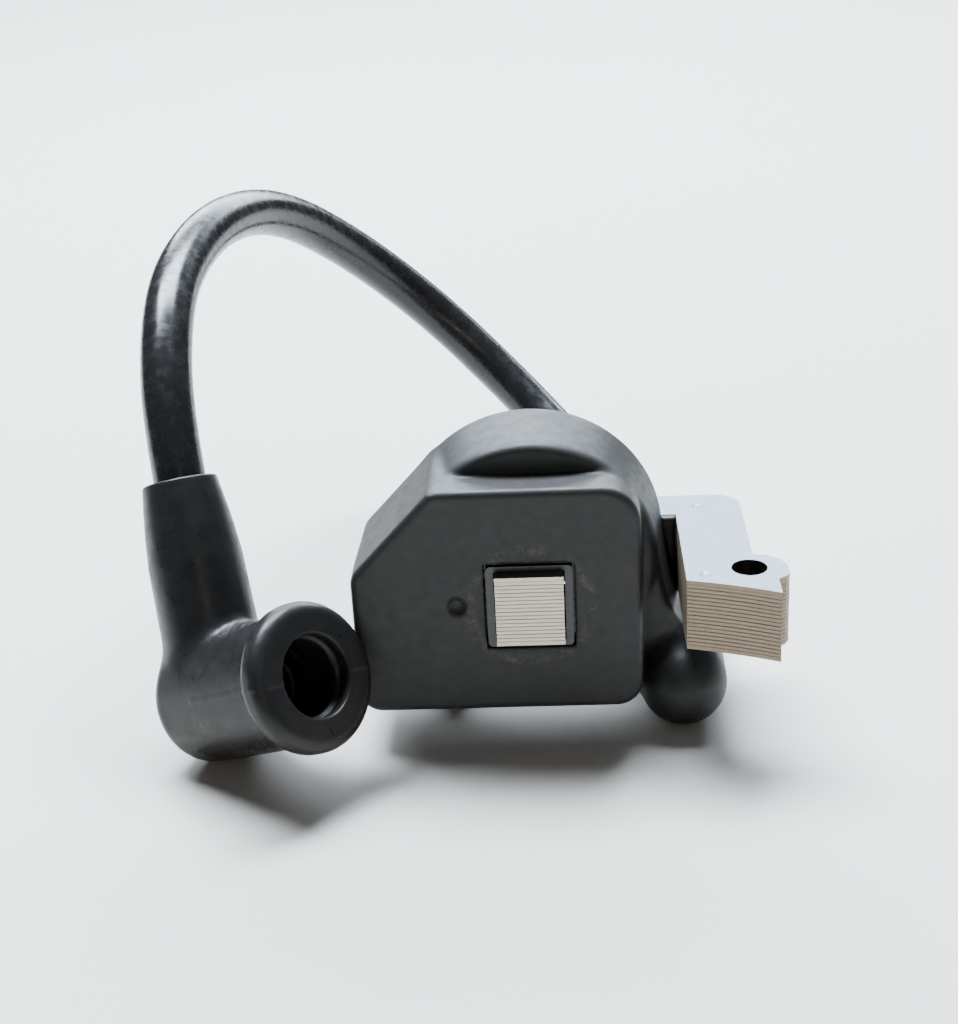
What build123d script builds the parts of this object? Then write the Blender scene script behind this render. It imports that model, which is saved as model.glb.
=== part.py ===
"""Ignition coil of a small four-stroke engine, with its high-tension lead and plug boot.

Frame, millimetres: the origin is the middle of the centre pole face of the laminated core.
+X runs from the coil leg to the mounting leg, +Y runs from the pole faces to the yoke,
and +Z is up, along the stack of laminations.
"""
from build123d import *
import math
import os

# --- laminated core -------------------------------------------------------------------
SHEET = 0.53                 # one electrical-steel sheet with its varnish
SHEETS = 18                  # sheets in the stack
STACK = SHEET * SHEETS
LEG_W = 8.7                  # width of the leg that carries the coil
YOKE_FRONT, YOKE_BACK = 17.8, 24.0
LEG2_IN, LEG2_OUT = 19.5, 28.3
POLE_R = 65.0                # radius of the flywheel rim that the pole faces follow
POLE_C = (2.9, -64.85)       # the flywheel's centre
SCREW_R = 2.25               # clearance hole for an M4 screw
SCREW_FRONT = (27.5, 1.1)
SCREW_REAR = (-9.2, 21.6)
EAR_FRONT = -8.0             # front faces of the mounting leg and its ear
EAR = ((27.0, 4.9), (29.8, 4.6), (31.6, 3.3), (32.3, 1.6), (32.3, -0.6), (31.8, -1.5),
       (30.75, -2.3), (30.75, EAR_FRONT), (27.0, EAR_FRONT))
REAR_EAR_R = 4.4
YOKE_ROUND = 3.6             # outer corner of the yoke
STAKES = ((22.5, 20.3), (21.9, -0.4), (-1.0, 20.9))
STAKE_R, STAKE_DEPTH = 0.8, 0.18

# --- moulded housing ------------------------------------------------------------------
FACE_Y = 1.5                 # front face of the panel
STEP_Y = 6.8                 # the round body starts behind this plane
BACK_Y = 17.3                # rear rim of the housing
FLOOR_Y = 3.5                # inside of the front wall
FILL_Y = 16.7                # level of the resin fill
LEFT, RIGHT, BOTTOM, TOP = -22.7, 14.2, -15.0, 15.9
CHAMFER_X, CHAMFER_Z = -12.0, 4.5
CORNER_RADII = (3.0, 3.5, 5.2, 1.2, 3.0)     # of the panel, from the lower left corner round
EDGE_ROUND, RIM_ROUND = 0.9, 0.8             # front edges of the panel and of the round body
DRAFT = 0.5                  # the left side leans in by this much from the step to the rear
ROUND_C = (0.3, 3.6)         # X and Z of the round body's axis
ROUND_R = (16.0, 17.2)       # its radius at the step and at the rear rim
WALL = 1.8
PAD = (14.0, 19.4, 15.9, 17.75)              # left, right, front and back of the pad on the yoke
WINDOW = (11.4, 11.8)
TOWER = (19.7, -14.6)        # X and Z of the high-tension outlet's axis
TOWER_R = 5.75
TOWER_DOME_Y, TOWER_BACK_Y = 7.3, 26.5
BLEND_R = 7.0                # concave blend between the round body and the outlet
FOOT = (-14.0, -8.0, 14.4)   # left, right and front of the rear foot
FOOT_ROUND = 1.2
SEAL_W, SEAL_DEPTH = 1.1, 1.6                # rubber ring round the lead, in the outlet's mouth
TUNNEL = ((11.0, -7.0), 13.0, 1.7)           # start in X and Z, depth and radius
POCKET_Y, POCKET_R = 11.0, 3.3               # chamber in the outlet for the contact
FLOOR_Z = TOWER[1] - TOWER_R

# --- bobbins and windings -------------------------------------------------------------
TUBE_IN = (9.0, 9.84)
TUBE_OUT = (10.9, 11.3)
TUBE_BACK = 17.5
TUBE_FLANGE = (16.4, 16.9)
FLANGE_T = 0.8
PRIMARY = (5.0, 15.4)        # front and back of the primary winding
PRIMARY_OUT = (14.4, 14.9)
SEC_TUBE = (9.7, 10.5)
SEC_FLANGE_R = 12.3
SEC_WIRE_R = 11.8
SEC = (7.0, 15.3)
SEC_CHAMBERS = 4
RIB = 0.6

# --- electronics ----------------------------------------------------------------------
BOARD_X = -15.4
BOARD_T = 1.2
BOARD = (4.6, 15.6, -12.0, 5.0)              # front, back, bottom and top
WIRE_R = 0.35                # enamelled copper wire
WIRE_Y, WIRE_Z = 5.9, 3.0
TAB_Z = (1.0, 1.5)           # underside and top of the ground tab
SPADE = (-19.9, -15.1, -9.1, -8.3)           # left, right, underside and top
SPADE_Y = (16.0, 17.3, 24.5)                 # root, rim of the housing and tip

# --- high-tension lead and boot -------------------------------------------------------
LEAD_R = 3.5
STRAND_R = 0.8
SPIKE_Y = 16.4               # front of the contact in the outlet
PIERCE = 5.5                 # how far each contact spike enters the lead
FIT = 0.05                   # running clearance of the boot on the lead
ELBOW = Vector(-40.6, 2.2, -12.1)
LEAN = Vector(-0.183, 0.451, 0.874).normalized()
MOUTH = Vector(0.731, -0.531, 0.428)
MOUTH = (MOUTH - LEAN * MOUTH.dot(LEAN)).normalized()
BOOT_TOP = 28.7              # from the elbow's centre, along the lead
LEAD_END = 21.5
LEAD_BEND = 35.0
SLEEVE_R = (6.4, 5.9, 4.95)   # at the elbow, at the neck and at the top
NECK = 6.0                   # length of the tapering neck
BARREL_R, ELBOW_R = 8.3, 8.25
LIP_R, LIP_BACK, LIP_ROUND, MOUTH_AT = 9.5, 15.6, 1.8, 20.0
STEM_BORE_R = 1.7
BORE_R, BORE_BACK = 5.1, 11.5
CHAMBER_R, CHAMBER_BACK = 4.8, 1.0
CLIP = (3.1, 3.6, 4.0, 10.5)  # inner and outer radius, back and front of the plug clip

ROUTE = [
    tuple(ELBOW + LEAN * LEAD_END),
    tuple(ELBOW + LEAN * LEAD_BEND),
    (-48.5, 28.0, 28.5),
    (-48.5, 40.5, 34.5),
    (-45.0, 56.5, 37.5),
    (-39.0, 73.0, 34.5),
    (-29.5, 86.0, 24.5),
    (-16.5, 91.0, 11.5),
    (-3.5, 86.5, -1.0),
    (6.0, 77.5, -9.0),
    (13.0, 67.0, -13.5),
    (17.5, 56.0, -15.5),
    (19.4, 45.0, -15.5),
    (TOWER[0], 33.0, TOWER[1]),
    (TOWER[0], 19.4, TOWER[1]),
]


def slab(outline, y0, y1):
    """Extrude an outline drawn in X and Z from depth y0 to depth y1."""
    plane = Plane(origin=(0, y0, 0), x_dir=(1, 0, 0), z_dir=(0, -1, 0))
    return extrude(plane * outline, amount=-(y1 - y0))


def rod(x, z, y0, y1, radius):
    """Cylinder along Y."""
    return slab(Pos(x, z) * Circle(radius), y0, y1)


def block(x0, x1, y0, y1, z0, z1):
    """Box between two corners."""
    return Pos((x0 + x1) / 2, (y0 + y1) / 2, (z0 + z1) / 2) * Box(x1 - x0, y1 - y0, z1 - z0)


def ring_slab(outer, inner, radius, y0, y1):
    """Rounded rectangular ring along Y."""
    return slab(RectangleRounded(*outer, radius) - Rectangle(*inner), y0, y1)


# --- core -----------------------------------------------------------------------------
def core_outline():
    """Plan of one lamination, without its holes."""
    coil_leg = Pos(0, YOKE_BACK / 2) * Rectangle(LEG_W, YOKE_BACK)
    yoke_mid = ((SCREW_REAR[0] + LEG2_OUT) / 2, (YOKE_FRONT + YOKE_BACK) / 2)
    yoke = Pos(*yoke_mid) * Rectangle(LEG2_OUT - SCREW_REAR[0], YOKE_BACK - YOKE_FRONT)
    leg = Pos((LEG2_IN + LEG2_OUT) / 2, (EAR_FRONT + YOKE_BACK) / 2) * Rectangle(
        LEG2_OUT - LEG2_IN, YOKE_BACK - EAR_FRONT)
    ear = make_face(Polyline(*EAR, EAR[0]))
    pad = Pos(*SCREW_REAR) * Circle(REAR_EAR_R)
    before_yoke = Pos(SCREW_REAR[0], YOKE_FRONT - REAR_EAR_R) * Rectangle(
        3 * REAR_EAR_R, 2 * REAR_EAR_R)
    plan = coil_leg + yoke + leg + ear + (pad - before_yoke)
    corner = plan.vertices().sort_by_distance((LEG2_OUT, YOKE_BACK, 0))[0]
    plan = fillet(corner, YOKE_ROUND)
    rim = Pos(*POLE_C) * Circle(POLE_R)
    behind_poles = Pos(0, YOKE_BACK / 2) * Rectangle(2 * LEG2_IN, YOKE_BACK)
    return plan - (rim - behind_poles)


def core_part(z0, z1, stakes=False):
    """The sheets between two heights as one solid, with both screw holes."""
    part = extrude(Pos(0, 0, z0) * core_outline(), amount=z1 - z0)
    for x, y in (SCREW_FRONT, SCREW_REAR):
        part -= Pos(x, y, (z0 + z1) / 2) * Cylinder(SCREW_R, STACK + 2)
    if stakes:
        ball = (STAKE_R ** 2 + STAKE_DEPTH ** 2) / (2 * STAKE_DEPTH)
        for x, y in STAKES:
            part -= Pos(x, y, z1 - STAKE_DEPTH + ball) * Sphere(ball)
    return part


# --- housing --------------------------------------------------------------------------
def panel_outline(inset=0.0):
    """The flat panel: a rectangle with one sloping corner, X and Z."""
    slope = math.hypot(CHAMFER_X - LEFT, TOP - CHAMFER_Z)
    along = ((CHAMFER_X - LEFT) / slope, (TOP - CHAMFER_Z) / slope)
    shift = inset * (1 - along[0]) / along[1]
    lift = inset * (1 - along[1]) / along[0]
    left, right, low, top = LEFT + inset, RIGHT - inset, BOTTOM + inset, TOP - inset
    points = [(left, low), (right, low), (right, top), (CHAMFER_X + shift, top),
              (left, CHAMFER_Z - lift)]
    face = make_face(Polyline(*points, points[0]))
    for point, radius in zip(points, CORNER_RADII):
        corner = face.vertices().sort_by_distance((*point, 0))[0]
        face = fillet(corner, max(radius - inset, 0.5))
    return face


def round_body(inset, y0, y1):
    """The round body behind the panel, which widens towards its open rear."""
    low, high = (ROUND_R[0] - inset + (y - STEP_Y) * (ROUND_R[1] - ROUND_R[0]) / (BACK_Y - STEP_Y)
                 for y in (y0, y1))
    plane = Plane(origin=(ROUND_C[0], y0, ROUND_C[1]), z_dir=(0, 1, 0))
    return plane * (Pos(0, 0, (y1 - y0) / 2) * Cone(low, high, y1 - y0))


def blend_outline():
    """Web between the round body and the outlet, with a concave arc on its upper side."""
    reach_1, reach_2 = ROUND_R[0] + BLEND_R, TOWER_R + BLEND_R
    dx, dz = TOWER[0] - ROUND_C[0], TOWER[1] - ROUND_C[1]
    gap = math.hypot(dx, dz)
    run = (gap ** 2 + reach_1 ** 2 - reach_2 ** 2) / (2 * gap)
    rise = math.sqrt(reach_1 ** 2 - run ** 2)
    centre = (ROUND_C[0] + (run * dx - rise * dz) / gap, ROUND_C[1] + (run * dz + rise * dx) / gap)
    web = make_face(Polyline(
        ROUND_C, centre, TOWER, (TOWER[0] - 3.0, BOTTOM), (ROUND_C[0], BOTTOM), ROUND_C))
    return web - Pos(*centre) * Circle(BLEND_R)


def tower_solid():
    """Outlet of the lead: a cylinder along Y with a domed front."""
    tube = rod(*TOWER, TOWER_DOME_Y, TOWER_BACK_Y, TOWER_R)
    tube = chamfer(tube.edges().group_by(Axis.Y)[-1], 0.6)
    return tube + Pos(TOWER[0], TOWER_DOME_Y, TOWER[1]) * Sphere(TOWER_R)


def cavity():
    """Everything that the resin fill takes up, before the parts are set in it."""
    front = slab(panel_outline(WALL), FLOOR_Y, STEP_Y + 2.0)
    rear = slab(panel_outline(WALL), STEP_Y + WALL, BACK_Y)
    rear += round_body(WALL, STEP_Y + WALL, BACK_Y)
    (x, z), y, radius = TUNNEL
    start = Vector(x, y, z)
    span = Vector(TOWER[0], y, TOWER[1]) - start
    tunnel = Plane(origin=start, z_dir=span) * (
        Pos(0, 0, span.length / 2) * Cylinder(radius, span.length))
    return front + rear + tunnel + rod(*TOWER, POCKET_Y, ROUTE[-1][1], POCKET_R)


def side_wedge():
    """What the draft takes off the left side, from the step to the rear."""
    outside = LEFT - 1
    plan = make_face(Polyline(
        (outside, STEP_Y), (LEFT, STEP_Y), (LEFT + DRAFT, BACK_Y), (outside, BACK_Y),
        (outside, STEP_Y)))
    return extrude(Pos(0, 0, BOTTOM - 1) * plan, amount=TOP - BOTTOM)


def coil_housing():
    """One-piece moulded case with the lead outlet and the rear foot."""
    panel = slab(panel_outline(), FACE_Y, STEP_Y)
    panel = fillet(panel.faces().sort_by(Axis.Y)[0].outer_wire().edges(), EDGE_ROUND)
    drum = round_body(0, STEP_Y, BACK_Y)
    drum = fillet(drum.edges().group_by(Axis.Y)[0], RIM_ROUND)
    body = slab(panel_outline() + blend_outline(), STEP_Y, BACK_Y)
    foot = block(FOOT[0], FOOT[1], FOOT[2], BACK_Y, FLOOR_Z, BOTTOM + 1.0)
    foot = fillet(foot.edges().filter_by(Axis.Y).group_by(Axis.Z)[0], FOOT_ROUND)
    pad = block(*PAD, -STACK / 2, STACK / 2)
    case = panel + body + drum + tower_solid() + foot + pad
    case -= side_wedge()
    case -= cavity()
    case -= slab(Rectangle(*WINDOW), 0, STEP_Y)
    case -= rod(*TOWER, ROUTE[-1][1] - 1, TOWER_BACK_Y + 1, LEAD_R)
    case -= rod(*TOWER, TOWER_BACK_Y - SEAL_DEPTH, TOWER_BACK_Y + 1, LEAD_R + SEAL_W)
    return case


# --- bobbins and windings -------------------------------------------------------------
def core_tube():
    """Square tube round the coil leg, with two flanges for the primary winding."""
    tube = ring_slab(TUBE_OUT, TUBE_IN, 0.6, FACE_Y, TUBE_BACK)
    for y in (PRIMARY[0] - FLANGE_T, PRIMARY[1]):
        tube += ring_slab(TUBE_FLANGE, TUBE_IN, 2.4, y, y + FLANGE_T)
    return tube


def primary_winding():
    return ring_slab(PRIMARY_OUT, TUBE_OUT, 2.0, *PRIMARY)


def secondary_bobbin():
    """Round sleeve with thin ribs that part the winding into chambers."""
    sleeve = rod(0, 0, *SEC, SEC_TUBE[1]) - rod(0, 0, SEC[0] - 1, SEC[1] + 1, SEC_TUBE[0])
    pitch = (SEC[1] - SEC[0] - RIB) / SEC_CHAMBERS
    for i in range(SEC_CHAMBERS + 1):
        y = SEC[0] + i * pitch
        sleeve += rod(0, 0, y, y + RIB, SEC_FLANGE_R) - rod(0, 0, y - 1, y + 2, SEC_TUBE[1] - 0.1)
    return sleeve


def secondary_winding():
    """Fine wire, one bundle in each chamber."""
    pitch = (SEC[1] - SEC[0] - RIB) / SEC_CHAMBERS
    bundles = []
    for i in range(SEC_CHAMBERS):
        y = SEC[0] + i * pitch
        bundle = rod(0, 0, y + RIB, y + pitch, SEC_WIRE_R)
        bundles.append(bundle - rod(0, 0, y, y + pitch + 1, SEC_TUBE[1]))
    return Compound(bundles)


# --- electronics ----------------------------------------------------------------------
def circuit_board():
    return block(BOARD_X - BOARD_T / 2, BOARD_X + BOARD_T / 2, *BOARD)


def on_board(y, z, along_y, along_z, height):
    """Box that stands on the board's outer side."""
    face = BOARD_X - BOARD_T / 2
    return block(face - height, face, y - along_y / 2, y + along_y / 2, z - along_z / 2, z + along_z / 2)


def switching_transistor():
    """Flat-fronted package with a cooling tab."""
    body = on_board(8.2, -8.6, 5.0, 4.6, 3.2)
    body = chamfer(body.faces().sort_by(Axis.X)[0].edges(), 0.4)
    return body + on_board(8.2, -5.7, 5.0, 1.2, 0.8)


def control_chip():
    body = on_board(8.2, 0.4, 4.0, 5.0, 1.6)
    return chamfer(body.faces().sort_by(Axis.X)[0].edges(), 0.3)


def filter_capacitor():
    body = on_board(13.2, -2.0, 3.4, 5.6, 3.4)
    return fillet(body.edges().filter_by(Axis.X), 0.8)


def lying_can(y, z, radius, length):
    """Small cylinder that lies on the board along Z, with a thinner lead at each end."""
    x = BOARD_X - BOARD_T / 2 - radius
    can = Pos(x, y, z) * Cylinder(radius, length)
    return can + Pos(x, y, z) * Cylinder(radius * 0.35, length + 1.6)


def zener_diode():
    return lying_can(13.6, -8.6, 1.0, 3.4)


def resistors():
    return Compound([lying_can(y, 3.4, 0.7, 2.2) for y in (11.9, 14.2)])


def primary_wires():
    """Two wire ends from the primary winding to the board."""
    start = -PRIMARY_OUT[0] / 2
    end = BOARD_X + BOARD_T / 2
    ends = []
    for z in (-WIRE_Z, WIRE_Z):
        wire = Plane(origin=(end, WIRE_Y, z), z_dir=(1, 0, 0)) * (
            Pos(0, 0, (start - end) / 2) * Cylinder(WIRE_R, start - end))
        ends.append(wire)
    return Compound(ends)


def ground_tab():
    """Flat tab from the board to the front of the yoke, under the rear ear."""
    tab = block(BOARD_X + BOARD_T / 2, -13.2, 13.0, 16.4, *TAB_Z)
    tab += block(-13.2, -11.0, 15.4, 16.4, *TAB_Z)
    return tab + block(-12.4, -11.0, 16.4, YOKE_FRONT, *TAB_Z)


def stop_terminal():
    """Spade for the stop wire, set in the resin and standing out to the rear."""
    left, right, low, high = SPADE
    root, _, tip = SPADE_Y
    blade = block(left, right, root, tip, low, high)
    blade = chamfer(blade.edges().filter_by(Axis.Z).group_by(Axis.Y)[-1], 0.8)
    return blade - Pos((left + right) / 2, tip - 2.9, low) * Cylinder(0.9, 4)


# --- high-tension side ----------------------------------------------------------------
def ht_jumper():
    """Wire from the last secondary chamber to the contact in the outlet."""
    start, deep, _ = TUNNEL
    path = FilletPolyline((start[0] - 0.3, deep, start[1] - 0.3), (TOWER[0], deep, TOWER[1]),
                          (TOWER[0], SPIKE_Y, TOWER[1]), radius=1.2)
    return sweep(Plane(origin=path @ 0, z_dir=path % 0) * Circle(0.45), path=path)


def ht_spike():
    """Contact that pierces the lead inside the outlet."""
    end = ROUTE[-1][1]
    head = rod(*TOWER, SPIKE_Y, end - 1.4, 2.8)
    neck = rod(*TOWER, end - 1.4, end, 1.6)
    pin = rod(*TOWER, end, end + PIERCE - 1.0, STRAND_R)
    tip = Plane(origin=(TOWER[0], end + PIERCE - 1.0, TOWER[1]), z_dir=(0, 1, 0)) * (
        Pos(0, 0, 0.5) * Cone(STRAND_R, 0.1, 1.0))
    return head + neck + pin + tip


def lead_seal():
    """Rubber ring in the mouth of the outlet."""
    front, back = TOWER_BACK_Y - SEAL_DEPTH, TOWER_BACK_Y + 0.6
    ring = rod(*TOWER, front, back, LEAD_R + SEAL_W)
    ring = fillet(ring.edges().group_by(Axis.Y)[-1], 0.5)
    return ring - rod(*TOWER, front - 1, back + 1, LEAD_R)


def corner_radii(points):
    """The largest arc that each corner of the route leaves room for."""
    radii = []
    for a, b, c in zip(points, points[1:], points[2:]):
        run_in, run_out = Vector(*b) - Vector(*a), Vector(*c) - Vector(*b)
        turn = math.radians(run_in.get_angle(run_out))
        radii.append(0.45 * min(run_in.length, run_out.length) / math.tan(turn / 2))
    return radii


def lead_parts():
    """Jacket and strands of the lead, swept along one path."""
    radii = corner_radii(ROUTE)
    path = FilletPolyline(*ROUTE, radius=radii)
    section = Plane(origin=path @ 0, z_dir=path % 0)
    bore = sweep(section * Circle(STRAND_R), path=path)
    jacket = sweep(section * Circle(LEAD_R), path=path) - bore
    first = Vector(*ROUTE[0])
    cut_1 = Plane(origin=first, z_dir=LEAN) * (Pos(0, 0, (PIERCE - 1) / 2) * Cylinder(2, PIERCE + 1))
    cut_2 = rod(*TOWER, ROUTE[-1][1] - 1, ROUTE[-1][1] + PIERCE, 2)
    strands = bore - cut_1 - cut_2
    print("lead: radii", [round(r, 1) for r in radii])
    print("lead: length", round(path.length, 1), "volume ratio",
          round((jacket.volume + bore.volume) / (math.pi * LEAD_R ** 2 * path.length), 4))
    return jacket, strands


def boot_frame():
    """Local frame of the boot: X out of the mouth, Z up the lead, origin in the elbow."""
    return Plane(origin=ELBOW, x_dir=MOUTH, z_dir=LEAN)


def along_mouth(radius, start, end):
    """Cylinder on the mouth's axis in the boot's local frame."""
    return Pos((start + end) / 2, 0, 0) * Rot(0, 90, 0) * Cylinder(radius, end - start)


def plug_boot():
    """Right-angled rubber boot: sleeve for the lead, elbow, barrel and thick lip."""
    low_r, neck_r, top_r = SLEEVE_R
    neck = BOOT_TOP - NECK
    sleeve = Pos(0, 0, neck + NECK / 2) * Cone(neck_r, top_r, NECK)
    sleeve += Pos(0, 0, neck / 2) * Cone(low_r, neck_r, neck)
    barrel = along_mouth(BARREL_R, 0, LIP_BACK + 0.5) + Sphere(ELBOW_R)
    lip = along_mouth(LIP_R, LIP_BACK, MOUTH_AT)
    lip = fillet(lip.edges(), LIP_ROUND)
    shell = sleeve + barrel + lip
    shell -= along_mouth(BORE_R, BORE_BACK, MOUTH_AT + 1)
    shell -= along_mouth(CHAMBER_R, CHAMBER_BACK, BORE_BACK + 1)
    shell -= Pos(0, 0, BOOT_TOP / 2 + LEAD_END / 2) * Cylinder(LEAD_R + FIT, BOOT_TOP - LEAD_END + 0.001)
    shell -= Pos(0, 0, LEAD_END / 2 + 1) * Cylinder(STEM_BORE_R, LEAD_END - 2)
    return boot_frame() * shell


def plug_clip():
    """Sprung sleeve that grips the plug's terminal, with a spike up into the lead."""
    inner, outer, back, front = CLIP
    sleeve = along_mouth(outer, back, front) - along_mouth(inner, back - 1, front + 1)
    sleeve -= Pos(front, 0, -outer) * Box(2 * (front - back - 1.5), 1.6, 2 * outer)
    plate = along_mouth(outer, back - 0.8, back)
    stem = Pos(back - 0.4, 0, 0) * Box(0.8, 1.6, 2 * outer)
    rise = Pos(0, 0, (LEAD_END + 2.6) / 2) * Cylinder(0.75, LEAD_END - 2.6)
    foot = Pos((back - 0.4) / 2, 0, 3.2) * Box(back, 1.5, 1.4)
    tip = Pos(0, 0, LEAD_END + (PIERCE - 1) / 2) * Cylinder(0.75, PIERCE - 1)
    tip += Pos(0, 0, LEAD_END + PIERCE - 0.75) * Cone(0.75, 0.1, 0.5)
    return boot_frame() * (sleeve + plate + stem + rise + foot + tip)


def potting_resin(inner_parts):
    """The resin fill: the cavity up to its level, less all that is set in it."""
    below_level = slab(Rectangle(4 * TOP, 4 * TOP), 0, FILL_Y)
    outlet = rod(*TOWER, 0, ROUTE[-1][1], TOWER_R)
    fill = cavity() & (below_level + outlet)
    for part in inner_parts:
        fill -= part
    return fill.solids().sort_by(SortBy.VOLUME)[-1]


def main():
    os.makedirs("parts", exist_ok=True)
    half = STACK / 2
    potted = {
        "core_tube": core_tube(),
        "primary_winding": primary_winding(),
        "secondary_bobbin": secondary_bobbin(),
        "secondary_winding": secondary_winding(),
        "circuit_board": circuit_board(),
        "switching_transistor": switching_transistor(),
        "control_chip": control_chip(),
        "filter_capacitor": filter_capacitor(),
        "zener_diode": zener_diode(),
        "resistors": resistors(),
        "primary_wires": primary_wires(),
        "ground_tab": ground_tab(),
        "stop_terminal": stop_terminal(),
        "ht_jumper": ht_jumper(),
        "ht_spike": ht_spike(),
    }
    inside_tube = slab(Rectangle(*TUBE_OUT), 0, TUBE_BACK)
    jacket, strands = lead_parts()
    parts = {
        **potted,
        "potting_resin": potting_resin([*potted.values(), inside_tube]),
        "core_top_sheet": core_part(half - SHEET, half, stakes=True),
        "core_stack": core_part(-half + SHEET, half - SHEET),
        "core_bottom_sheet": core_part(-half, -half + SHEET),
        "coil_housing": coil_housing(),
        "lead_seal": lead_seal(),
        "ht_lead_jacket": jacket,
        "ht_lead_strands": strands,
        "plug_boot": plug_boot(),
        "plug_clip": plug_clip(),
    }
    for name, shape in parts.items():
        export_step(shape, f"parts/{name}.step")


main()
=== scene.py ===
"""Looks of the small-engine ignition coil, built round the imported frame."""
import bpy
import itertools
import math
import numpy as np
import random
from mathutils import Matrix, Vector
from mathutils.geometry import tessellate_polygon


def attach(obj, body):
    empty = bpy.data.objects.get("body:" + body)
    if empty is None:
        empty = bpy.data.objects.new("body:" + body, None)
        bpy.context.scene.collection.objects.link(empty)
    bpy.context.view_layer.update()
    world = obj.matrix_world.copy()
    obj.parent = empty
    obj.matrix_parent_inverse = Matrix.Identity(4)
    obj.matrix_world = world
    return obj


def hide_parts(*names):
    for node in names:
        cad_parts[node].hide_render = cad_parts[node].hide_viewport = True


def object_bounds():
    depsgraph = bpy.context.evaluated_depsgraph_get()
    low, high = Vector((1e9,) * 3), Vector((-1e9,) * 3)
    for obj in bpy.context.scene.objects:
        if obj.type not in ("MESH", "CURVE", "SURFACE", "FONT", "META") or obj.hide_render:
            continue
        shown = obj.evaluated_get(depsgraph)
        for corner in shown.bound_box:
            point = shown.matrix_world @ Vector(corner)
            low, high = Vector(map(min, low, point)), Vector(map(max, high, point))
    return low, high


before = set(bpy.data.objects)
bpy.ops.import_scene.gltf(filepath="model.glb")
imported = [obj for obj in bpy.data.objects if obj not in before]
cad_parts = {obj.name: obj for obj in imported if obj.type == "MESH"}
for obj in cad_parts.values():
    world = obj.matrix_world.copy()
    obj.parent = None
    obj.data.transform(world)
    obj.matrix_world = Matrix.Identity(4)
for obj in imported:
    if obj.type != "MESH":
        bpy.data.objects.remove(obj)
cad_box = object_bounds()
MM = 0.001
SHEET, SHEETS = 0.53, 18     # thickness of a lamination in millimetres, and how many there are

# --- camera ---------------------------------------------------------------------------
CAMERA_PLACE = Vector((5.03, -197.5, 102.2)) * MM
CAMERA_YAW, CAMERA_PITCH, CAMERA_ROLL = (math.radians(a) for a in (-3.12, 24.04, -3.08))
CAMERA_LENS = 62.05


def make_camera():
    data = bpy.data.cameras.new("camera")
    data.lens, data.sensor_width = CAMERA_LENS, 36.0
    data.clip_start, data.clip_end = 0.01, 10.0
    camera = bpy.data.objects.new("camera", data)
    bpy.context.scene.collection.objects.link(camera)
    look = Vector((math.sin(CAMERA_YAW) * math.cos(CAMERA_PITCH),
                   math.cos(CAMERA_YAW) * math.cos(CAMERA_PITCH), -math.sin(CAMERA_PITCH)))
    side = Vector((math.cos(CAMERA_YAW), -math.sin(CAMERA_YAW), 0.0))
    top = side.cross(look)
    right = side * math.cos(CAMERA_ROLL) + top * math.sin(CAMERA_ROLL)
    up = top * math.cos(CAMERA_ROLL) - side * math.sin(CAMERA_ROLL)
    turn = Matrix((right, up, -look)).transposed()
    camera.matrix_world = Matrix.Translation(CAMERA_PLACE) @ turn.to_4x4()
    bpy.context.scene.camera = camera


make_camera()

# --- the lead, in millimetres ---------------------------------------------------------
LEAD_D = 7.0
LEAD_END, LEAD_BEND = 21.5, 35.0    # from the elbow: its end in the boot, and its first bend
OUTLET_Y = 19.4                     # its other end, in the outlet
ELBOW = Vector((-40.6, 2.2, -12.1))
LEAN = Vector((-0.183, 0.451, 0.874)).normalized()
MOUTH = Vector((0.731, -0.531, 0.428))
MOUTH = (MOUTH - LEAN * MOUTH.dot(LEAN)).normalized()
TOWER_X, TOWER_Z = 19.7, -14.6
ROUTE = [
    tuple(ELBOW + LEAN * LEAD_END),
    tuple(ELBOW + LEAN * LEAD_BEND),
    (-48.5, 28.0, 28.5),
    (-48.5, 40.5, 34.5),
    (-45.0, 56.5, 37.5),
    (-39.0, 73.0, 34.5),
    (-29.5, 86.0, 24.5),
    (-16.5, 91.0, 11.5),
    (-3.5, 86.5, -1.0),
    (6.0, 77.5, -9.0),
    (13.0, 67.0, -13.5),
    (17.5, 56.0, -15.5),
    (19.4, 45.0, -15.5),
    (TOWER_X, 33.0, TOWER_Z),
    (TOWER_X, OUTLET_Y, TOWER_Z),
]


def make_lead():
    """The lead's curve: a bevel of 1, and the lead's own radius on every point."""
    curve = bpy.data.curves.new("ht_lead", "CURVE")
    curve.dimensions = "3D"
    curve.bevel_depth = 1.0
    curve.bevel_resolution = 10
    curve.resolution_u = 24
    spline = curve.splines.new("NURBS")
    spline.points.add(len(ROUTE) - 1)
    for point, place in zip(spline.points, ROUTE):
        point.co = (*(Vector(place) * MM), 1.0)
        point.radius = LEAD_D / 2 * MM
    spline.order_u = 3
    spline.use_endpoint_u = True
    lead = bpy.data.objects.new("ht_lead", curve)
    bpy.context.scene.collection.objects.link(lead)
    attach(lead, "coil")
    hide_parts("ht_lead_jacket")
    return lead


lead = make_lead()

# --- shapes from distance fields, in millimetres --------------------------------------
SETTLE_ROUNDS, NUDGE, LEAST_SLOPE = 5, 0.02, 0.2
OVERLAP = 1.0                # how far joined shapes, and cuts, run past each other


def both(a, b, radius):
    """Where two fields overlap, with the edge rounded."""
    edge = np.hypot(np.maximum(a + radius, 0), np.maximum(b + radius, 0))
    return np.minimum(np.maximum(a, b), -radius) + edge


def either(a, b, radius):
    """Two fields joined, with a fillet in the corner."""
    return -both(-a, -b, radius)


def less(a, b, radius):
    """The first field with the second cut out of it, and the new edge rounded."""
    return both(a, -b, radius)


def melt(a, b, reach):
    """Two fields joined by a soft blend."""
    near = np.maximum(reach - np.abs(a - b), 0) / reach
    return np.minimum(a, b) - near * near * reach / 4


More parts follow.
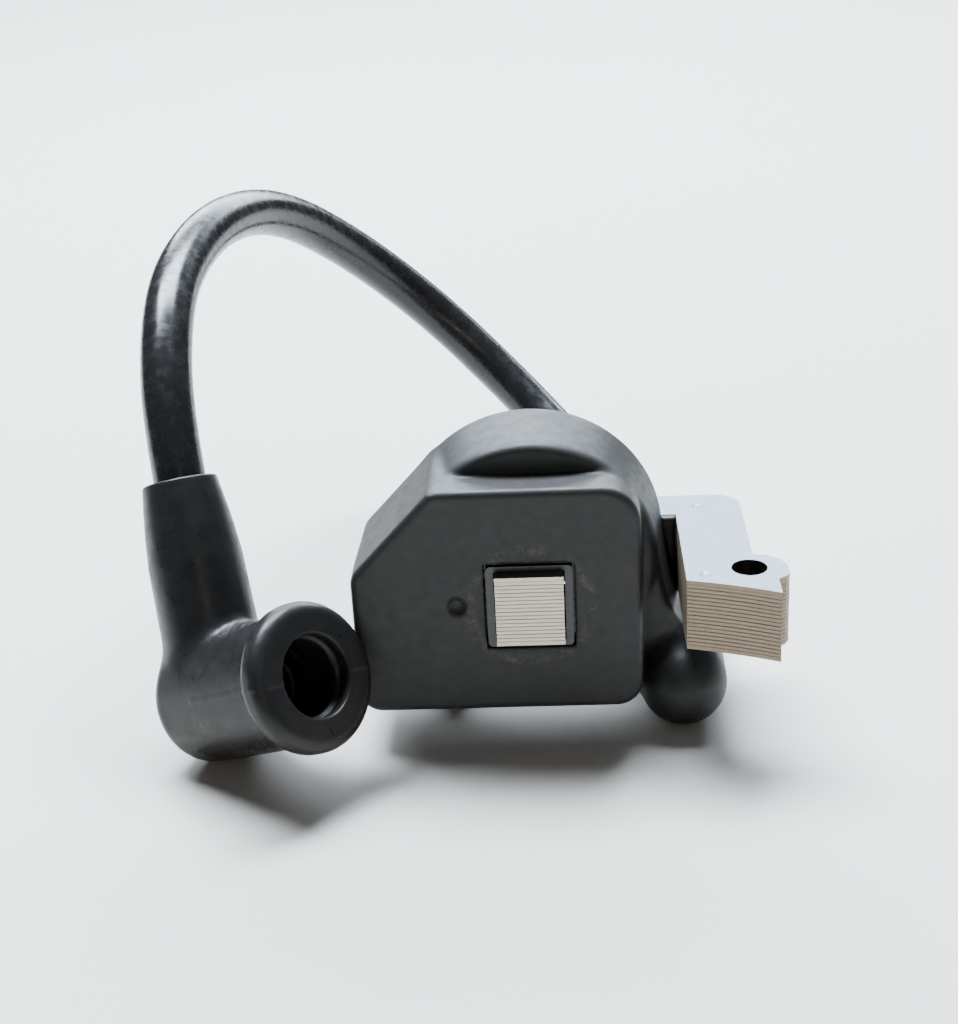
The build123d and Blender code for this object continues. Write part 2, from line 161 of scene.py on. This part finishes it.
def settle(points, field, step):
    """Move points onto the zero surface of a field, but no further than a cell."""
    start = points.copy()
    for _ in range(SETTLE_ROUNDS):
        value = field(points)
        slope = np.stack([(field(points + NUDGE * axis) - value) / NUDGE for axis in np.eye(3)], -1)
        size = np.maximum((slope ** 2).sum(-1), LEAST_SLOPE)
        points = points - slope * (value / size)[:, None]
        points = start + np.clip(points - start, -step, step)
    return points


def skin(field, low, high, step):
    """Vertices and quads of a field's surface: one vertex in each cell that it crosses."""
    axes = [np.arange(a - step, b + 2 * step, step) for a, b in zip(low, high)]
    grid = np.stack(np.meshgrid(*axes, indexing="ij"), -1)
    inside = field(grid) < 0
    count = sum(inside[x:x - 1 or None, y:y - 1 or None, z:z - 1 or None].astype(int)
                for x, y, z in itertools.product((0, 1), repeat=3))
    crossed = (count > 0) & (count < 8)
    index = np.full(crossed.shape, -1)
    index[crossed] = np.arange(crossed.sum())
    corner = np.argwhere(crossed)
    points = np.stack([axes[i][corner[:, i]] for i in range(3)], -1) + step / 2
    quads = []
    for axis in range(3):
        solid = np.moveaxis(inside, (axis, (axis + 1) % 3, (axis + 2) % 3), (0, 1, 2))
        cell = np.moveaxis(index, (axis, (axis + 1) % 3, (axis + 2) % 3), (0, 1, 2))
        here, there = solid[:-1, 1:-1, 1:-1], solid[1:, 1:-1, 1:-1]
        ring = [cell[:, :-1, :-1], cell[:, 1:, :-1], cell[:, 1:, 1:], cell[:, :-1, 1:]]
        out = here & ~there
        back = there & ~here
        quads.append(np.stack([r[out] for r in ring], -1))
        quads.append(np.stack([r[back] for r in reversed(ring)], -1))
    return settle(points, field, step), np.concatenate(quads)


def piece_from(name, points, faces, body, node):
    """A smooth piece in place of a CAD node, from points in millimetres."""
    mesh = bpy.data.meshes.new(name)
    mesh.from_pydata((points * MM).tolist(), [], faces.tolist())
    mesh.validate()
    mesh.shade_smooth()
    piece = bpy.data.objects.new(name, mesh)
    bpy.context.scene.collection.objects.link(piece)
    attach(piece, body)
    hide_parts(node)
    return piece


# --- rubber boot ----------------------------------------------------------------------
BOOT_CELL = 0.28             # step of the grid that the surface is found on
BOOT_LOW, BOOT_HIGH = (-6, -10, -9.5), (20, 10, 29)
BOOT_TOP, SLEEVE_FOOT = 28.7, -3
SLEEVE_AT, SLEEVE_R = (-9, 8, 18, 22, 25.5, 28.7), (6.45, 6.4, 6.25, 5.9, 5.45, 4.95)
SLEEVE_MELT = 1.8            # reach of the soft blend between the sleeve and the barrel
BARREL_R, BARREL_BACK, BARREL_ROUND = 8.4, -4.8, 2.4
LIP_R, LIP_BACK, LIP_FRONT = 9.55, 15.7, 19.6
LIP_BACK_ROUND, LIP_FRONT_ROUND, LIP_FILLET = 1.5, 1.7, 0.5
SOCKET_BACK = 1.0
SOCKET_AT = (1.0, 11.3, 11.7, 15.9, 16.4, 17.1, 17.5, 18.1, 18.6, 21.0)
SOCKET_R = (4.8, 4.8, 5.1, 5.1, 4.9, 4.9, 5.45, 5.5, 5.25, 5.3)
STEM_BORE_R, STEM_BORE_FOOT, STEM_BORE_TOP = 1.7, 1.0, 22.0     # from the socket up to the lead
SLEEVE_EDGE, SOCKET_EDGE, BORE_EDGE = 0.25, 0.22, 0.15
BOOT_FIT = 0.02              # gap between the sleeve's bore and the lead
SEAM_HEIGHT, SEAM_W, SEAM_FROM = 0.11, 0.22, 4
FLASH_HEIGHT, FLASH_W, FLASH_SPREAD, FLASH_AT, FLASH_SIDE = 0.6, 0.35, 0.6, 17.6, 8
WRINKLES_AT, WRINKLES_HEIGHT, WRINKLES_SPREAD = (9.5, -2.0, 8.3), 0.2, 4.5
WRINKLES_WAVE = (4.2, 1.3, 3.36)             # radians per millimetre along each axis
FLOOR_GAP, FLOOR_ROUND = 0.02, 1.2           # where the plane that it rests on cuts the elbow


def boot_field(p):
    """The boot in its own axes: X out of the mouth, Z up the lead."""
    x, y, z = p[..., 0], p[..., 1], p[..., 2]
    from_lead, from_mouth = np.hypot(x, y), np.hypot(y, z)
    sleeve = both(from_lead - np.interp(z, SLEEVE_AT, SLEEVE_R), z - BOOT_TOP, SLEEVE_EDGE)
    sleeve = np.maximum(sleeve, SLEEVE_FOOT - z)
    barrel = both(from_mouth - BARREL_R, BARREL_BACK - x, BARREL_ROUND)
    barrel = np.maximum(barrel, x - LIP_BACK - OVERLAP)
    lip = both(from_mouth - LIP_R, x - LIP_FRONT, LIP_FRONT_ROUND)
    lip = both(lip, LIP_BACK - x, LIP_BACK_ROUND)
    shape = either(melt(sleeve, barrel, SLEEVE_MELT), lip, LIP_FILLET)
    seam = SEAM_HEIGHT * np.exp(-(z / SEAM_W) ** 2) * (x > SEAM_FROM)
    flash = np.exp(-(z / FLASH_W) ** 2 - ((x - FLASH_AT) / FLASH_SPREAD) ** 2)
    flash = FLASH_HEIGHT * flash * (y > FLASH_SIDE)
    span = sum((c - a) ** 2 for c, a in zip((x, y, z), WRINKLES_AT))
    waves = np.sin(sum(c * w for c, w in zip((x, y, z), WRINKLES_WAVE)))
    folds = WRINKLES_HEIGHT * waves * np.exp(-span / WRINKLES_SPREAD)
    shape = shape - seam - flash - folds
    socket = np.maximum(from_mouth - np.interp(x, SOCKET_AT, SOCKET_R), SOCKET_BACK - x)
    lead_bore = np.maximum(from_lead - LEAD_D / 2 - BOOT_FIT, LEAD_END - z)
    stem_bore = np.maximum(from_lead - STEM_BORE_R, np.maximum(STEM_BORE_FOOT - z, z - STEM_BORE_TOP))
    shape = less(less(shape, socket, SOCKET_EDGE), lead_bore, BORE_EDGE)
    shape = np.maximum(shape, -stem_bore)
    height = ELBOW.z + x * MOUTH.z + y * LEAN.cross(MOUTH).z + z * LEAN.z
    return both(shape, cad_box[0].z / MM + FLOOR_GAP - height, FLOOR_ROUND)


def make_boot():
    """The right-angled boot, which replaces the CAD node plug_boot."""
    points, faces = skin(boot_field, BOOT_LOW, BOOT_HIGH, BOOT_CELL)
    axes = np.array([MOUTH, LEAN.cross(MOUTH), LEAN])
    return piece_from("rubber_boot", points @ axes + np.array(ELBOW), faces, "boot", "plug_boot")


# --- moulded housing ------------------------------------------------------------------
CASE_CELL = 0.32             # step of the grid that the surface is found on
LEFT, RIGHT, BOTTOM, TOP = -22.7, 14.2, -15.0, 15.9
CHAMFER_X, CHAMFER_Z = -12.0, 4.5
FACE_Y, FLOOR_Y, STEP_Y, BACK_Y = 1.5, 3.5, 6.8, 17.3
TOP_ROUND, BOTTOM_ROUND, LEFT_ROUND, SLOPE_ROUND = 5.2, 3.5, 3.0, 0.7
EDGE_ROUND, REAR_ROUND, STEP_FILLET = 0.9, 0.3, 0.6
DRAFT, WALL = 0.5, 1.8
ROUND_X, ROUND_Z, ROUND_R = 0.3, 3.6, (16.0, 17.2)      # radius at its front and at its back
# painted shade: a black block in front of the core's yoke, where there is only shade
SHADE_BLOCK_LEFT, SHADE_BLOCK_RIGHT, SHADE_BLOCK_FRONT, SHADE_BLOCK_BACK = 14.0, 19.4, 16.6, 17.75
SHADE_BLOCK_ROUND = 0.2
WINDOW_W, WINDOW_H, WINDOW_CORNER, WINDOW_EDGE = 11.4, 11.8, 0.25, 0.22
TOWER_R, TOWER_DOME_Y, TOWER_BACK_Y, TOWER_ROUND = 5.75, 7.3, 26.5, 0.6
OUTLET_FLOOR_Y, OUTLET_FIT, OUTLET_EDGE = 11.0, 0.05, 0.15
SEAL_R, SEAL_Y = 4.6, 24.9
WEB_INSET, WEB_REACH, WEB_Y = 2.5, 18.0, 7.4            # web from the round body to the outlet
WEB_ROUND, WEB_FILLET, WEB_JOIN = 0.8, 2.5, 0.4
FOOT_LEFT, FOOT_RIGHT, FOOT_Y, FOOT_ROUND, FOOT_FILLET = -14.0, -8.0, 14.4, 1.0, 0.5
HOLLOW_EDGE = 0.2
DIMPLE, DIMPLE_R, DIMPLE_RISE, DIMPLE_EDGE = (-9.3, 0.2), 1.5, 0.7, 0.25


def panel_field(x, y, z):
    """The flat panel's outline, with its sloping corner and the draft of its left side."""
    depth = BACK_Y - STEP_Y
    lean = ((LEFT - x) * depth + np.maximum(y - STEP_Y, 0) * DRAFT) / math.hypot(depth, DRAFT)
    run, rise = CHAMFER_X - LEFT, TOP - CHAMFER_Z
    slope = ((z - CHAMFER_Z) * run - (x - LEFT) * rise) / math.hypot(run, rise)
    panel = both(both(x - RIGHT, z - TOP, TOP_ROUND), BOTTOM - z, BOTTOM_ROUND)
    return both(both(panel, lean, LEFT_ROUND), slope, SLOPE_ROUND)


def case_field(p):
    """The moulded case: flat panel, round body, outlet tower and foot, hollow behind, and a black
    block as painted shade on the yoke's face.
    """
    x, y, z = p[..., 0], p[..., 1], p[..., 2]
    panel = panel_field(x, y, z)
    disc = np.hypot(x - ROUND_X, z - ROUND_Z) - np.interp(y, (STEP_Y, BACK_Y), ROUND_R)
    tower = np.hypot(x - TOWER_X, z - TOWER_Z)
    dome = np.hypot(tower, np.minimum(y - TOWER_DOME_Y, 0)) - TOWER_R
    dome = both(dome, y - TOWER_BACK_Y, TOWER_ROUND)
    drum = both(both(disc, STEP_Y - y, EDGE_ROUND), y - BACK_Y, REAR_ROUND)
    flat = both(both(panel, FACE_Y - y, EDGE_ROUND), y - BACK_Y, REAR_ROUND)
    shape = either(flat, drum, STEP_FILLET)
    web = np.maximum(either(disc, tower - TOWER_R + WEB_INSET, WEB_REACH), BOTTOM - z)
    web = both(web, np.maximum(WEB_Y - y, y - BACK_Y), WEB_ROUND)
    shape = either(shape, either(web, dome, WEB_FILLET), WEB_JOIN)
    # painted shade: a black block covers the yoke's shaded face between the round body and the
    # mounting leg
    shade_block = np.maximum(np.maximum(SHADE_BLOCK_LEFT - x, x - SHADE_BLOCK_RIGHT), np.abs(z) - SHEET * SHEETS / 2)
    shade_block = both(shade_block, np.maximum(SHADE_BLOCK_FRONT - y, y - SHADE_BLOCK_BACK), SHADE_BLOCK_ROUND)
    shape = np.minimum(shape, shade_block)
    foot = both(np.maximum(FOOT_LEFT - x, x - FOOT_RIGHT), cad_box[0].z / MM - z, FOOT_ROUND)
    foot = both(foot, np.maximum(FOOT_Y - y, y - BACK_Y), REAR_ROUND)
    shape = either(shape, np.maximum(foot, z - BOTTOM - OVERLAP), FOOT_FILLET)
    rear = y - BACK_Y - OVERLAP
    hollow = np.maximum(panel + WALL, np.maximum(FLOOR_Y - y, rear))
    round_hollow = np.maximum(np.minimum(panel, disc) + WALL, np.maximum(STEP_Y + WALL - y, rear))
    shape = less(shape, np.minimum(hollow, round_hollow), HOLLOW_EDGE)
    window = both(np.abs(x) - WINDOW_W / 2, np.abs(z) - WINDOW_H / 2, WINDOW_CORNER)
    shape = less(shape, np.maximum(window, y - STEP_Y), WINDOW_EDGE)
    lead_bore = np.maximum(tower - LEAD_D / 2 - OUTLET_FIT, OUTLET_FLOOR_Y - y)
    seal_seat = np.maximum(tower - SEAL_R, SEAL_Y - y)
    shape = less(shape, np.minimum(lead_bore, seal_seat), OUTLET_EDGE)
    over_dimple = (x - DIMPLE[0]) ** 2 + (z - DIMPLE[1]) ** 2 + (y - FACE_Y + DIMPLE_RISE) ** 2
    return less(shape, np.sqrt(over_dimple) - DIMPLE_R, DIMPLE_EDGE)


def make_case():
    """The housing, which replaces the CAD node coil_housing."""
    low = (LEFT, FACE_Y, cad_box[0].z / MM)
    high = (TOWER_X + TOWER_R, TOWER_BACK_Y, ROUND_Z + ROUND_R[1])
    points, faces = skin(case_field, low, high, CASE_CELL)
    return piece_from("moulded_case", points, faces, "coil", "coil_housing")


# --- laminations ----------------------------------------------------------------------
ROLL = ((0.0, 0.06), (0.06, 0.0), (0.47, 0.0), (SHEET, 0.04))   # heights and insets of a cut edge
SLIP, SLIP_SEED = 0.012, 7   # how far a sheet may lie off its place
INSET = 0.025                # how far every edge is drawn in, to leave room for the slip
SHARP_CORNER = 0.7           # limit to how far a corner is drawn in


def outline_loops(node):
    """Closed loops of the sheet's plan, in millimetres, read from its upper face."""
    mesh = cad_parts[node].data
    high = max(v.co.z for v in mesh.vertices)
    on_top = {v.index for v in mesh.vertices if v.co.z > high - 1e-6}
    seen = {}
    for face in mesh.polygons:
        if all(v in on_top for v in face.vertices):
            for a, b in zip(face.vertices, [*face.vertices[1:], face.vertices[0]]):
                edge = tuple(mesh.vertices[a].co), tuple(mesh.vertices[b].co)
                seen.setdefault(tuple(sorted(edge)), []).append(edge)
    step = dict(pairs[0] for pairs in seen.values() if len(pairs) == 1)
    loops = []
    while step:
        start, point = next(iter(step.items()))
        del step[start]
        loop = [start]
        while point != start:
            loop.append(point)
            point = step.pop(point)
        loops.append(np.array(loop)[:, :2] / MM)
    return loops


def inward(loop):
    """Unit vectors from each point of a loop into the metal."""
    along = np.roll(loop, -1, 0) - loop
    along /= np.linalg.norm(along, axis=1)[:, None]
    turned = np.stack([-along[:, 1], along[:, 0]], -1)
    mean = turned + np.roll(turned, 1, 0)
    return mean / np.maximum((mean ** 2).sum(1) / 2, SHARP_CORNER)[:, None]


def make_sheets():
    """The sixteen inner laminations, each with rolled and burred edges of its own."""
    draw = random.Random(SLIP_SEED)
    loops = outline_loops("core_top_sheet")
    flat = [[Vector((*point, 0)) for point in loop] for loop in loops]
    caps = tessellate_polygon(flat)
    total = sum(len(loop) for loop in loops)
    points, faces = [], []
    for sheet in range(1, SHEETS - 1):
        base = -SHEET * SHEETS / 2 + sheet * SHEET
        slip = np.array([draw.uniform(-SLIP, SLIP), draw.uniform(-SLIP, SLIP)])
        start = len(points)
        for height, inset in ROLL:
            for loop in loops:
                ring = loop + inward(loop) * (inset + INSET) + slip
                points += [(px, py, base + height) for px, py in ring]
        for level in range(len(ROLL) - 1):
            offset = start + level * total
            for loop in loops:
                size = len(loop)
                for i in range(size):
                    j = (i + 1) % size
                    faces.append((offset + i, offset + j, offset + total + j, offset + total + i))
                offset += size
        last = start + (len(ROLL) - 1) * total
        faces += [tuple(last + i for i in face) for face in caps]
        faces += [tuple(start + i for i in reversed(face)) for face in caps]
    mesh = bpy.data.meshes.new("core_sheets")
    mesh.from_pydata([tuple(c * MM for c in point) for point in points], [], faces)
    mesh.validate()
    piece = bpy.data.objects.new("core_sheets", mesh)
    bpy.context.scene.collection.objects.link(piece)
    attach(piece, "coil")
    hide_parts("core_stack")
    return piece


boot = make_boot()
case = make_case()
sheets = make_sheets()


# --- materials ------------------------------------------------------------------------
SCUFF_RING = (6.6, 7.5, 7.9, 9.0)            # radii round the window where scuffs come and go
FRONT_SKIN = (1.6, 1.9)                      # depth at which the front face's scuffs end
LOWER_TINT_TOP, LOWER_TINT_FULL = -4.0, -17.0          # heights where the boot's browner tint towards the bottom starts and is full
POLE_X, POLE_Y = (6.0, 8.0), (2.0, 4.0)      # where the ground pole face ends
SCREW_AT, SCREW_SHADE_R = (27.5, 1.1), (2.5, 2.7)  # front screw hole: its axis, and the radii where painted shade on its wall is full and where it ends
WAVES_PER_SCALE = 3.2                        # bands in one unit of a wave texture's scale


class Finish:
    """A material with a few short ways to vary it over the surface."""

    def __init__(self, name, color, roughness, **constants):
        self.material = bpy.data.materials.new(name)
        self.material.use_nodes = True
        self.tree = self.material.node_tree
        self.shader = self.tree.nodes["Principled BSDF"]
        self.shader.inputs["Base Color"].default_value = (*color, 1)
        self.shader.inputs["Roughness"].default_value = roughness
        for socket, value in constants.items():
            self.shader.inputs[socket.replace("_", " ")].default_value = value
        self.place = self.node("ShaderNodeTexCoord").outputs["Object"]

    def node(self, kind, **settings):
        made = self.tree.nodes.new(kind)
        for key, value in settings.items():
            setattr(made, key, value)
        return made

    def feed(self, node, **links):
        """Set or link inputs by name, or by number as n0, n1 and on; returns the first output."""
        for key, value in links.items():
            socket = node.inputs[int(key[1:]) if key[1:].isdigit() else key]
            if isinstance(value, bpy.types.NodeSocket):
                self.tree.links.new(value, socket)
            else:
                socket.default_value = value
        return node.outputs[0]

    def stretch(self, scale, turn=(0, 0, 0)):
        mapping = self.node("ShaderNodeMapping")
        return self.feed(mapping, Vector=self.place, Scale=scale, Rotation=turn)

    def noise(self, size, detail=4.0, rough=0.55, at=None):
        """Noise whose blobs are about size millimetres across."""
        made = self.node("ShaderNodeTexNoise")
        return self.feed(made, Vector=at or self.place, Scale=1 / (size * MM), Detail=detail,
                         Roughness=rough)

    def span(self, value, low, high, out_low=0.0, out_high=1.0):
        made = self.node("ShaderNodeMapRange", interpolation_type="SMOOTHSTEP")
        return self.feed(made, n0=value, n1=low, n2=high, n3=out_low, n4=out_high)

    def math(self, operation, a, b=0.0):
        return self.feed(self.node("ShaderNodeMath", operation=operation), n0=a, n1=b)

    def axes(self, vector):
        """The three numbers of a vector."""
        parts = self.node("ShaderNodeSeparateXYZ")
        self.feed(parts, Vector=vector)
        return parts.outputs

    def length(self, a, b):
        """Length of the plane vector (a, b)."""
        return self.math("SQRT", self.math("ADD", self.math("MULTIPLY", a, a),
                                           self.math("MULTIPLY", b, b)))

    def mix(self, factor, a, b):
        made = self.node("ShaderNodeMix", data_type="RGBA")
        sockets = {6: a, 7: b}
        self.tree.links.new(factor, made.inputs[0])
        for i, value in sockets.items():
            if isinstance(value, bpy.types.NodeSocket):
                self.tree.links.new(value, made.inputs[i])
            else:
                made.inputs[i].default_value = (*value, 1)
        return made.outputs[2]

    def color(self, socket):
        self.tree.links.new(socket, self.shader.inputs["Base Color"])

    def rough(self, socket):
        self.tree.links.new(socket, self.shader.inputs["Roughness"])

    def bump(self, height, depth, strength=1.0):
        made = self.node("ShaderNodeBump")
        made.inputs["Strength"].default_value = strength
        made.inputs["Distance"].default_value = depth * MM
        self.tree.links.new(height, made.inputs["Height"])
        self.tree.links.new(made.outputs[0], self.shader.inputs["Normal"])

    def specks(self, spacing, size, share):
        """A few round specks: one cell in so many has one."""
        dots = self.node("ShaderNodeTexVoronoi")
        near = self.feed(dots, Vector=self.place, Scale=1 / (spacing * MM))
        chosen = self.feed(self.node("ShaderNodeSeparateColor"), n0=dots.outputs["Color"])
        dot = self.span(near, size, size * 0.6)
        return self.math("MULTIPLY", dot, self.math("GREATER_THAN", chosen, 1 - share))

    def on(self, *pieces):
        for piece in pieces:
            if piece.material_slots:
                for slot in piece.material_slots:
                    slot.link = "OBJECT"
                    slot.material = self.material
            else:
                piece.data.materials.append(self.material)


def moulded_plastic():
    """Glass-filled black plastic: grainy, scuffed round the window, with dust specks."""
    f = Finish("housing_plastic", (0.015, 0.015, 0.015), 0.45, Specular_IOR_Level=0.3)
    tone = f.mix(f.noise(7.0), (0.010, 0.0098, 0.0096), (0.017, 0.0162, 0.0158))
    x, y, z = f.axes(f.place)
    away = f.length(x, z)
    start, full, still_full, end = (radius * MM for radius in SCUFF_RING)
    band = f.math("MULTIPLY", f.span(away, start, full), f.span(away, end, still_full))
    front = f.span(y, FRONT_SKIN[1] * MM, FRONT_SKIN[0] * MM)
    patchy = f.span(f.noise(1.6, 7.0, 0.75), 0.44, 0.72, 0.0, 0.55)
    scuff = f.math("MULTIPLY", f.math("MULTIPLY", band, front), patchy)
    tone = f.mix(scuff, tone, (0.085, 0.073, 0.062))
    rub = f.span(f.noise(0.5, 3.0, 0.8, f.stretch((1, 1, 0.12), (0, 0.5, 0))), 0.67, 0.74)
    rub = f.math("MULTIPLY", rub, f.span(f.noise(9.0), 0.5, 0.62, 0.0, 0.5))
    tone = f.mix(rub, tone, (0.055, 0.052, 0.050))
    tone = f.mix(f.specks(4.2, 0.045, 0.3), tone, (0.55, 0.56, 0.58))
    f.color(tone)
    f.rough(f.span(f.noise(1.4, 5.0), 0.3, 0.7, 0.46, 0.56))
    f.bump(f.noise(0.35, 3.0), 0.012)
    return f


def boot_rubber():
    """Black rubber, browner and lighter towards the bottom, with fine handling marks."""
    f = Finish("boot_rubber", (0.012, 0.012, 0.012), 0.38, Specular_IOR_Level=0.2)
    # browner and lighter towards the bottom
    low = f.span(f.axes(f.place)[2], LOWER_TINT_TOP * MM, LOWER_TINT_FULL * MM)
    tone = f.mix(f.noise(5.0), (0.009, 0.0088, 0.009), (0.015, 0.0142, 0.0142))
    lower_tint = f.math("MULTIPLY", low, f.span(f.noise(6.0, 5.0), 0.35, 0.65, 0.25, 1.0))
    tone = f.mix(lower_tint, tone, (0.026, 0.0195, 0.014))
    marks = f.noise(0.4, 3.0, 0.8, f.stretch((0.2, 1, 1), (0.3, 0.4, 0.5)))
    marks = f.span(marks, 0.68, 0.78, 0.0, 0.6)
    tone = f.mix(marks, tone, (0.05, 0.047, 0.046))
    tone = f.mix(f.specks(3.4, 0.05, 0.12), tone, (0.42, 0.42, 0.42))
    f.color(tone)
    f.rough(f.span(f.noise(2.0, 5.0), 0.3, 0.7, 0.27, 0.42))
    f.bump(f.noise(1.1, 5.0, 0.6), 0.03)
    return f


def lead_jacket():
    """Smooth extruded jacket, glossy with slight drag marks."""
    f = Finish("lead_jacket", (0.01, 0.01, 0.0105), 0.24, Specular_IOR_Level=0.4)
    f.color(f.mix(f.noise(8.0), (0.007, 0.007, 0.0075), (0.012, 0.0118, 0.012)))
    f.rough(f.span(f.noise(1.5, 5.0), 0.3, 0.75, 0.20, 0.34))
    f.bump(f.noise(3.0, 3.0), 0.02)
    return f


def sheet_steel():
    """Electrical steel: pale varnished faces and warm, coarser cut edges, with painted shade inside
    the front screw hole.
    """
    f = Finish("sheet_steel", (0.3, 0.3, 0.3), 0.4, Metallic=0.55)
    normal = f.node("ShaderNodeNewGeometry").outputs["Normal"]
    flat = f.span(f.math("ABSOLUTE", f.axes(normal)[2]), 0.55, 0.9)
    grain = f.noise(0.35, 4.0, 0.6, f.stretch((0.08, 1, 1)))
    face = f.mix(grain, (0.125, 0.155, 0.18), (0.145, 0.178, 0.205))
    streaks = f.noise(0.25, 4.0, 0.7, f.stretch((1, 1, 0.2)))
    cut = f.mix(streaks, (0.16, 0.12, 0.08), (0.27, 0.21, 0.145))
    ground = f.mix(streaks, (0.44, 0.385, 0.31), (0.62, 0.55, 0.45))
    place = f.axes(f.place)
    at_pole = f.math("MULTIPLY", f.span(place[0], POLE_X[1] * MM, POLE_X[0] * MM),
                     f.span(place[1], POLE_Y[1] * MM, POLE_Y[0] * MM))
    cut = f.mix(at_pole, cut, ground)
    # painted shade: the wall of the front screw hole is darkened to near black
    away = f.length(*(f.math("SUBTRACT", place[i], c * MM) for i, c in enumerate(SCREW_AT)))
    cut = f.mix(f.span(away, SCREW_SHADE_R[1] * MM, SCREW_SHADE_R[0] * MM), cut, (0.03, 0.026, 0.02))
    stain = f.span(f.noise(2.2, 4.0), 0.50, 0.75, 0.0, 0.3)
    face = f.mix(stain, face, (0.11, 0.138, 0.16))
    f.color(f.mix(flat, cut, face))
    f.rough(f.span(f.noise(0.9, 5.0), 0.3, 0.7, 0.38, 0.46))
    f.bump(grain, 0.003)
    return f


def plain_finish(name, dark, light, size, roughness, grain=0.01, **constants):
    """A small part's finish: two tones, uneven gloss and a fine grain."""
    f = Finish(name, light, roughness, **constants)
    f.color(f.mix(f.noise(size), dark, light))
    f.rough(f.span(f.noise(size * 0.7), 0.3, 0.7, roughness * 0.85, roughness * 1.2))
    f.bump(f.noise(size * 0.3), grain)
    return f


def wound_wire(name, dark, light, pitch):
    """Enamelled wire: fine turns side by side along the coil."""
    f = Finish(name, light, 0.3, Metallic=0.9)
    wave = f.node("ShaderNodeTexWave", bands_direction="Y", wave_profile="SIN")
    turns = f.feed(wave, Vector=f.place, Scale=1 / (pitch * MM * WAVES_PER_SCALE), Distortion=0.4)
    f.color(f.mix(turns, dark, light))
    f.bump(turns, 0.05)
    return f


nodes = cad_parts
moulded_plastic().on(case)
boot_rubber().on(boot)
lead_jacket().on(lead)
sheet_steel().on(sheets, nodes["core_top_sheet"], nodes["core_bottom_sheet"])
plain_finish("bobbin_plastic", (0.004, 0.004, 0.004), (0.008, 0.008, 0.009), 2.0, 0.3).on(
    nodes["core_tube"], nodes["secondary_bobbin"])
wound_wire("primary_wire", (0.30, 0.09, 0.03), (0.62, 0.22, 0.09), 0.4).on(
    nodes["primary_winding"], nodes["primary_wires"])
wound_wire("secondary_wire", (0.34, 0.12, 0.04), (0.66, 0.27, 0.12), 0.12).on(
    nodes["secondary_winding"])
plain_finish("board", (0.02, 0.10, 0.04), (0.03, 0.16, 0.07), 1.5, 0.4).on(nodes["circuit_board"])
plain_finish("component_black", (0.012, 0.012, 0.012), (0.03, 0.03, 0.03), 0.8, 0.45).on(
    nodes["switching_transistor"], nodes["control_chip"], nodes["zener_diode"])
plain_finish("capacitor_orange", (0.42, 0.13, 0.02), (0.60, 0.22, 0.04), 1.0, 0.3).on(
    nodes["filter_capacitor"])
plain_finish("resistor_tan", (0.45, 0.34, 0.20), (0.60, 0.47, 0.30), 0.6, 0.4).on(nodes["resistors"])
plain_finish("tinned_metal", (0.42, 0.42, 0.40), (0.66, 0.66, 0.64), 0.7, 0.35, Metallic=1.0).on(
    nodes["ground_tab"], nodes["stop_terminal"], nodes["ht_jumper"], nodes["ht_lead_strands"])
plain_finish("brass_contact", (0.16, 0.12, 0.06), (0.30, 0.23, 0.12), 0.8, 0.45, Metallic=1.0).on(
    nodes["ht_spike"], nodes["plug_clip"])
plain_finish("resin", (0.010, 0.010, 0.011), (0.020, 0.019, 0.019), 4.0, 0.22, 0.08).on(
    nodes["potting_resin"])
plain_finish("seal_rubber", (0.012, 0.012, 0.012), (0.026, 0.025, 0.025), 1.0, 0.6).on(
    nodes["lead_seal"])


# --- stage, in metres -----------------------------------------------------------------
FLOOR_REACH = 3.0
CENTRE = (0, 0, 0)
COOL, COOLER, WARM = (0.80, 0.90, 1.0), (0.78, 0.89, 1.0), (1.0, 0.96, 0.9)
WORLD_COLOR, WORLD_STRENGTH = (0.9, 0.93, 1.0), 0.1


def make_stage():
    low, far = cad_box[0].z, FLOOR_REACH
    mesh = bpy.data.meshes.new("floor")
    corners = [(-far, -far, low), (far, -far, low), (far, far, low), (-far, far, low)]
    mesh.from_pydata(corners, [], [(0, 1, 2, 3)])
    floor = bpy.data.objects.new("floor", mesh)
    bpy.context.scene.collection.objects.link(floor)
    f = Finish("floor", (0.6, 0.57, 0.53), 0.8)
    f.color(f.mix(f.noise(60.0), (0.59, 0.56, 0.52), (0.61, 0.58, 0.54)))
    f.on(floor)


def area_light(name, place, size, power, color):
    """A rectangular light that faces the object."""
    data = bpy.data.lights.new(name, "AREA")
    data.shape = "RECTANGLE"
    data.size, data.size_y = size
    data.energy, data.color = power, color
    light = bpy.data.objects.new(name, data)
    light.location = place
    light.rotation_euler = (Vector(CENTRE) - Vector(place)).to_track_quat("-Z", "Y").to_euler()
    bpy.context.scene.collection.objects.link(light)


def make_world():
    world = bpy.data.worlds.new("world")
    bpy.context.scene.world = world
    world.use_nodes = True
    background = world.node_tree.nodes["Background"]
    background.inputs["Color"].default_value = (*WORLD_COLOR, 1)
    background.inputs["Strength"].default_value = WORLD_STRENGTH


make_stage()
area_light("back_softbox", place=(0.0, 1.0, 0.52), size=(1.2, 0.4), power=30, color=COOLER)
area_light("top_softbox", place=(-0.1, 0.34, 0.78), size=(0.7, 0.3), power=48, color=COOL)
area_light("front_fill", place=(0.28, -0.9, 0.4), size=(0.1, 0.6), power=0.9, color=WARM)
make_world()

bpy.context.view_layer.update()
